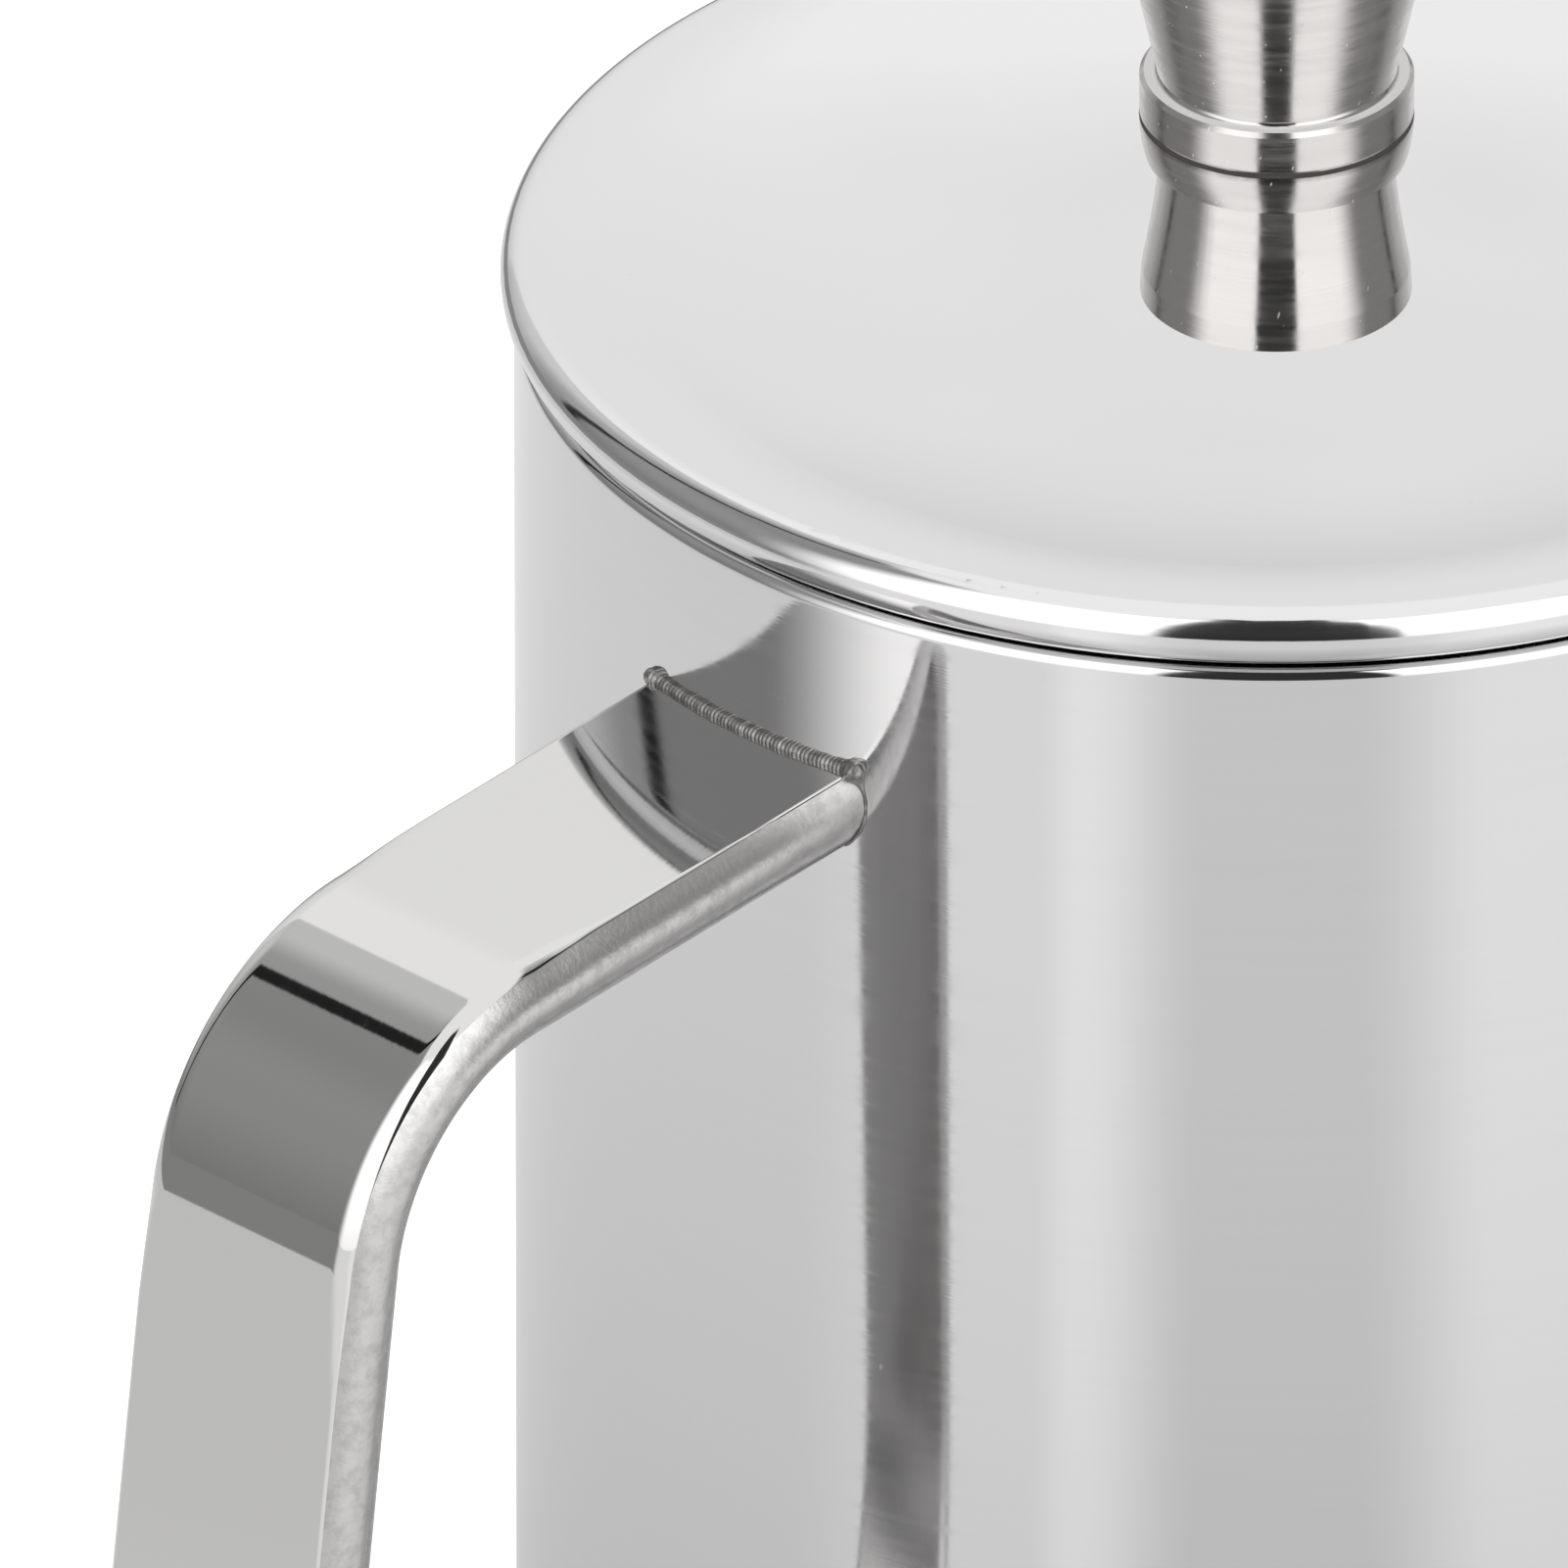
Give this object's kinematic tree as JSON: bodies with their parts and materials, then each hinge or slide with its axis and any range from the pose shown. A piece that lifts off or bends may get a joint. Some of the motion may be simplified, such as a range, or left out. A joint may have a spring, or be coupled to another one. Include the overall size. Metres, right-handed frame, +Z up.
{
  "type": "french press",
  "caption": "Double-walled steel french press with a strap handle, a dished lid with a rolled edge, a turned knob on a sliding plunger rod and a sprung mesh filter.",
  "frame": {"origin": "centre of the flat base, where the pot stands", "axes": "+Z up along the pot's axis; the handle points along -X and the spout along +X"},
  "size_m": [0.1789, 0.1078, 0.2222],
  "materials": {
    "polished_wall": "near-mirror polish with fine hairlines round the pot",
    "inner_wall": "satin brushed round the beaker",
    "base_steel": "spun satin, light scuffs",
    "spout_steel": "polished folded sheet",
    "weld_steel": "rippled weld with a slight heat tint",
    "handle_face": "mirror-polished strip",
    "handle_side": "blasted satin",
    "lid_steel": "finely polished dish, bright bead",
    "liner_steel": "drawn satin",
    "turned_steel": "lathe-turned with fine rings",
    "fastener_steel": "plain machined",
    "bush_plastic": "moulded black",
    "rod_steel": "ground and polished",
    "plate_steel": "stamped and tumbled",
    "mesh_steel": "fine square weave",
    "spring_steel": "drawn wire"
  },
  "bodies": {
    "pot": {"outer_shell": "polished_wall", "inner_shell": "inner_wall", "base_plate": "base_steel", "base_vent_plug": "base_steel", "spout": "spout_steel", "spout_weld": "weld_steel", "handle_face": "handle_face", "handle_channel": "handle_side", "handle_weld_upper": "weld_steel", "handle_weld_lower": "weld_steel"},
    "bush": {"guide_bush": "bush_plastic"},
    "lid": {"lid_shell": "lid_steel", "lid_liner": "liner_steel", "ferrule": "turned_steel", "ferrule_washer": "fastener_steel", "ferrule_nut": "fastener_steel"},
    "spring_ring": {"rim_spring": "spring_steel"},
    "plunger": {"knob": "turned_steel", "plunger_rod": "rod_steel", "rod_collar": "fastener_steel", "top_plate": "plate_steel", "filter_mesh": "mesh_steel", "cross_plate": "plate_steel", "cross_hub": "fastener_steel"}
  },
  "joints": [
    {"name": "lid_lift", "type": "slide", "parent": "pot", "child": "bush", "axis": [0, 0, 1], "range_m": [0, 0.2]},
    {"name": "lid_turn", "type": "hinge", "parent": "bush", "child": "lid", "pos_m": [0, 0, 0.181], "axis": [0, 0, 1], "continuous": true},
    {"name": "plunger_slide", "type": "slide", "parent": "bush", "child": "spring_ring", "axis": [0, 0, 1], "range_m": [0, 0.14]},
    {"name": "plunger_turn", "type": "hinge", "parent": "spring_ring", "child": "plunger", "pos_m": [0, 0, 0.1], "axis": [0, 0, 1], "continuous": true}
  ]
}
